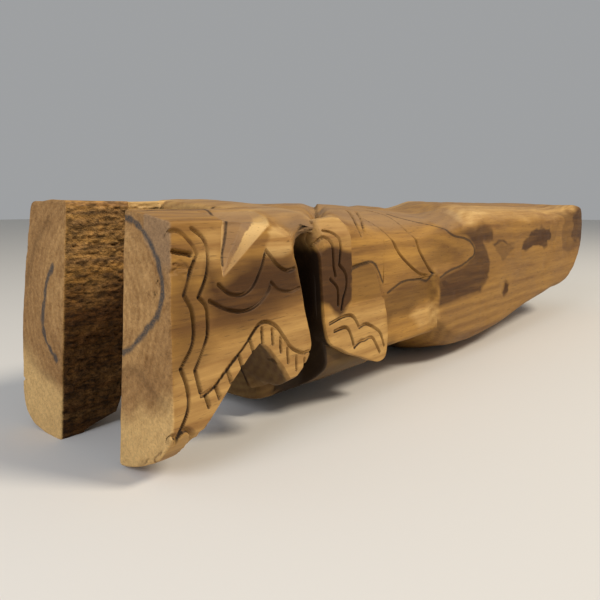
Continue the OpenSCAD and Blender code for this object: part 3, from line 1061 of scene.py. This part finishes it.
    # height: fibres and pores, or the torn surface left by the saw
    height = part["torn"]
    for source, weight in ((noise["fibre"], 0.6), (level["pore"], -0.5)):
        height = add(nodes, "ShaderNodeMath", {0: source, 1: weight, 2: height},
                     operation="MULTIPLY_ADD").outputs[0]
    bump = add(nodes, "ShaderNodeBump", {"Strength": look["bump"], "Distance": 0.0007,
                                         "Height": height}).outputs[0]
    shader = add(nodes, "ShaderNodeBsdfPrincipled", {"Base Color": colour, "Roughness": level["rough"],
                                                     "Normal": bump, "IOR": 1.5,
                                                     "Specular IOR Level": look["gloss"]})
    add(nodes, "ShaderNodeOutputMaterial", {"Surface": shader.outputs[0]})
    return material


# Each finish: two tones of the wood, strength of the rings, torn grain, bump, roughness, gloss
FINISHES = {
    # oiled heartwood, cut with a knife: golden brown, low sheen
    "oiled_carved_heartwood": dict(tones=("heart_dark", "heart"), rings=0.35, torn=0.2, bump=0.35,
                                   rough=0.6, gloss=0.2),
    # oiled sapwood: fainter rings, smoother
    "oiled_pale_sapwood": dict(tones=("heart_dark", "heart"), rings=0.3, torn=0.15, bump=0.3,
                               rough=0.6, gloss=0.2),
    # wood darkened by hands and smoke
    "handled_dark_wood": dict(tones=("worn_dark", "worn"), rings=0.25, torn=0.25, bump=0.35,
                              rough=0.5, gloss=0.4),
    # face left by a coarse saw: torn fibres, no gloss
    "rough_sawn_heartwood": dict(tones=("worn_dark", "heart"), rings=0.2, torn=1.6, bump=0.9,
                                 rough=0.85, gloss=0.2),
    # sawn across the fibres: matt, with clear rings
    "sawn_end_grain": dict(tones=("heart_dark", "end"), rings=0.16, torn=0.9, bump=0.7,
                           rough=0.8, gloss=0.25),
}


def finish(name):
    """The material of a finish, made once."""
    return bpy.data.materials.get(name) or spalted_wood(name, FINISHES[name])


# ---------------------------------------------------------------- the add-on

def length_property(name, description, default, low, high):
    """A length property in metres."""
    return bpy.props.FloatProperty(name=name, description=description, default=default, min=low,
                                   max=high, unit="LENGTH")


class HeadrestSizes(bpy.types.PropertyGroup):
    """Sizes of the log and of its carving."""

    length: length_property("Length", "Sawn end to tip of the tail", CAD_SIZE[0], 0.2, 1.0)
    width: length_property("Width", "Across the two sides", CAD_SIZE[1], 0.05, 0.3)
    height: length_property("Height", "Ground to crown", CAD_SIZE[2], 0.05, 0.3)
    cut_width: length_property("Cut width", "Width of a carved line", 0.002, 0.0005, 0.005)
    cut_depth: length_property("Cut depth", "Depth of a carved line", 0.0015, 0.0, 0.003)


def tone_property(name, description, code):
    """A colour property with an sRGB hex default."""
    return bpy.props.FloatVectorProperty(name=name, description=description, subtype="COLOR",
                                         size=3, min=0, max=1, default=linear(code))


class HeadrestColours(bpy.types.PropertyGroup):
    """Colours of the wood."""

    heart: tone_property("Heartwood", "Light tone of the heartwood", "#b3853f")
    heart_dark: tone_property("Dark heartwood", "Dark tone of the heartwood", "#7a542a")
    sap: tone_property("Sapwood", "Light tone of the sapwood", "#dcb677")
    sap_dark: tone_property("Dark sapwood", "Dark tone of the sapwood", "#a67a42")
    stain: tone_property("Stain", "Brown stain of the spalted wood", "#593815")
    stain_dark: tone_property("Dark stain", "Heart of the stain", "#331e0a")
    zone: tone_property("Zone line", "Thin dark line in the spalted wood", "#2b1f15")
    zone_end: tone_property("Zone line on the ends", "The same line on the sawn ends", "#33373a")
    grey: tone_property("Weathered", "Greyed wood on the top", "#94785a")
    worn: tone_property("Handled", "Light tone of the handled wood", "#93714a")
    worn_dark: tone_property("Dark handled", "Dark tone of the handled wood", "#5d4229")
    end: tone_property("End grain", "Light tone of the sawn ends", "#b88d58")
    # dark tone of pores and dust, also used for the painted shade in slots, cut lines and undersides
    grime: tone_property("Pores, dust and painted shade", "Dark tone of pores, of dust and painted shade in cuts, and of painted shade in slots", "#20140a")


class HeadrestStage(bpy.types.PropertyGroup):
    """Camera, lights and floor."""

    eye: bpy.props.FloatVectorProperty(name="Camera", description="Place of the camera",
                                       default=(-0.3803, -0.2158, 0.100), subtype="TRANSLATION",
                                       unit="LENGTH")
    pitch: bpy.props.FloatProperty(name="Pitch", description="How far the camera looks down",
                                   default=math.radians(4.5), unit="ROTATION")
    turn: bpy.props.FloatProperty(name="Turn", description="Heading of the camera",
                                  default=math.radians(-50.28), unit="ROTATION")
    key_power: bpy.props.FloatProperty(name="Key light", description="Power of the main light",
                                       default=26.0, min=0, unit="POWER")
    fill_power: bpy.props.FloatProperty(name="Fill light", description="Power of the soft light",
                                        default=4.0, min=0, unit="POWER")
    floor: tone_property("Floor", "Plain pale floor", "#d8d5cf")


class HEADREST_OT_front_legs(bpy.types.Operator):
    """Build the two front legs, with their carved sides, sawn ends and rough walls"""

    bl_idname = "headrest.front_legs"
    bl_label = "Front legs"

    def execute(self, context):
        for leg in (RightFrontLeg(), LeftFrontLeg()):
            build(leg, ("oiled_carved_heartwood", "rough_sawn_heartwood", "sawn_end_grain"), leg.finish_at)
        return {"FINISHED"}


class HEADREST_OT_saddle(bpy.types.Operator):
    """Build the saddle between the front legs"""

    bl_idname = "headrest.saddle"
    bl_label = "Front saddle"

    def execute(self, context):
        build(FrontSaddle(), ("oiled_carved_heartwood", "handled_dark_wood"), lambda c: 1.0 * (c[:, 2] < 92))
        return {"FINISHED"}


class HEADREST_OT_body(bpy.types.Operator):
    """Build the body with its shoulders, neck and leaf lines"""

    bl_idname = "headrest.body"
    bl_label = "Body"

    def execute(self, context):
        build(BodyBlock(), ("oiled_carved_heartwood",))
        return {"FINISHED"}


class HEADREST_OT_middle_legs(bpy.types.Operator):
    """Build the two raised middle legs on the sides of the body"""

    bl_idname = "headrest.middle_legs"
    bl_label = "Middle legs"

    def execute(self, context):
        for piece in (RightMiddleLeg(), LeftMiddleLeg()):
            build(piece, ("oiled_pale_sapwood",))
        return {"FINISHED"}


class HEADREST_OT_belly(bpy.types.Operator):
    """Build the belly below the neck"""

    bl_idname = "headrest.belly"
    bl_label = "Belly"

    def execute(self, context):
        build(BellyBlock(), ("oiled_pale_sapwood",))
        return {"FINISHED"}


class HEADREST_OT_tail(bpy.types.Operator):
    """Build the long tail with its rising keel and blunt tip"""

    bl_idname = "headrest.tail"
    bl_label = "Tail"

    def execute(self, context):
        build(TailBlock(), ("oiled_pale_sapwood",))
        return {"FINISHED"}


class HEADREST_OT_stage(bpy.types.Operator):
    """Set up the floor, the soft lights and the camera"""

    bl_idname = "headrest.stage"
    bl_label = "Stage"

    def execute(self, context):
        scene = context.scene
        stage = scene.headrest_stage
        scene.view_settings.view_transform = "Standard"
        mesh = bpy.data.meshes.new("floor")
        far = 4                  # half the floor's width in metres
        mesh.from_pydata([(-far, -far, 0), (far, -far, 0), (far, far, 0), (-far, far, 0)], [],
                         [(0, 1, 2, 3)])
        floor = bpy.data.objects.new("floor", mesh)
        scene.collection.objects.link(floor)
        floor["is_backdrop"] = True
        paint = bpy.data.materials.new("matt_pale_floor")
        paint.use_nodes = True
        shader = paint.node_tree.nodes["Principled BSDF"]
        shader.inputs["Base Color"].default_value = (*tuple(stage.floor), 1)
        shader.inputs["Roughness"].default_value = 0.8
        mesh.materials.append(paint)
        world = bpy.data.worlds.new("soft_room")
        world.use_nodes = True
        light = world.node_tree.nodes["Background"].inputs
        light["Color"].default_value = (0.86, 0.88, 0.9, 1)
        light["Strength"].default_value = 0.4
        scene.world = world
        # name, place, width, power, colour
        lamps = (("key", (0.35, -1.2, 1.3), 0.45, stage.key_power, "#fff3e0"),
                 ("side", (-0.95, -0.1, 0.5), 0.5, stage.fill_power, "#eef3ff"))
        for name, place, size, power, code in lamps:
            lamp = bpy.data.lights.new(name, "AREA")
            lamp.shape = "DISK"
            lamp.size = size
            lamp.energy = power
            lamp.color = linear(code)
            thing = bpy.data.objects.new(name, lamp)
            thing.location = place
            way = np.array(place) - (0, 0, 0.05)     # from the middle of the log
            thing.rotation_euler = (math.atan2(math.hypot(way[0], way[1]), way[2]), 0,
                                    math.atan2(way[0], -way[1]))
            scene.collection.objects.link(thing)
        # 36 mm lens on a 36 mm sensor: a view of 53 degrees
        eye = bpy.data.cameras.new("eye")
        eye.sensor_width = 36
        eye.lens = 36
        eye.shift_y = -0.0796
        eye.clip_start = 0.01
        camera = bpy.data.objects.new("eye", eye)
        camera.location = stage.eye
        camera.rotation_euler = (math.pi / 2 - stage.pitch, 0, stage.turn)
        scene.collection.objects.link(camera)
        scene.camera = camera
        return {"FINISHED"}


class HEADREST_PT_panel(bpy.types.Panel):
    """Sizes, colours and the steps that build the headrest"""

    bl_label = "Headrest"
    bl_idname = "HEADREST_PT_panel"
    bl_space_type = "VIEW_3D"
    bl_region_type = "UI"
    bl_category = "Headrest"

    def draw(self, context):
        layout = self.layout
        scene = context.scene
        for group in (scene.headrest_sizes, scene.headrest_colours, scene.headrest_stage):
            box = layout.box()
            for key in group.__annotations__:
                box.prop(group, key)
        for operator in OPERATORS:
            layout.operator(operator.bl_idname)


GROUPS = {"headrest_sizes": HeadrestSizes, "headrest_colours": HeadrestColours,
          "headrest_stage": HeadrestStage}
OPERATORS = (HEADREST_OT_stage, HEADREST_OT_front_legs, HEADREST_OT_saddle, HEADREST_OT_body,
             HEADREST_OT_middle_legs, HEADREST_OT_belly, HEADREST_OT_tail)


def register():
    for cls in (*GROUPS.values(), *OPERATORS, HEADREST_PT_panel):
        bpy.utils.register_class(cls)
    for name, group in GROUPS.items():
        setattr(bpy.types.Scene, name, bpy.props.PointerProperty(type=group))


def unregister():
    for name in GROUPS:
        delattr(bpy.types.Scene, name)
    for cls in reversed((*GROUPS.values(), *OPERATORS, HEADREST_PT_panel)):
        bpy.utils.unregister_class(cls)


def main():
    """Registers the add-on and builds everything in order."""
    register()
    bpy.ops.headrest.stage()
    bpy.ops.headrest.front_legs()
    bpy.ops.headrest.saddle()
    bpy.ops.headrest.body()
    bpy.ops.headrest.middle_legs()
    bpy.ops.headrest.belly()
    bpy.ops.headrest.tail()


if __name__ == "__main__":
    main()
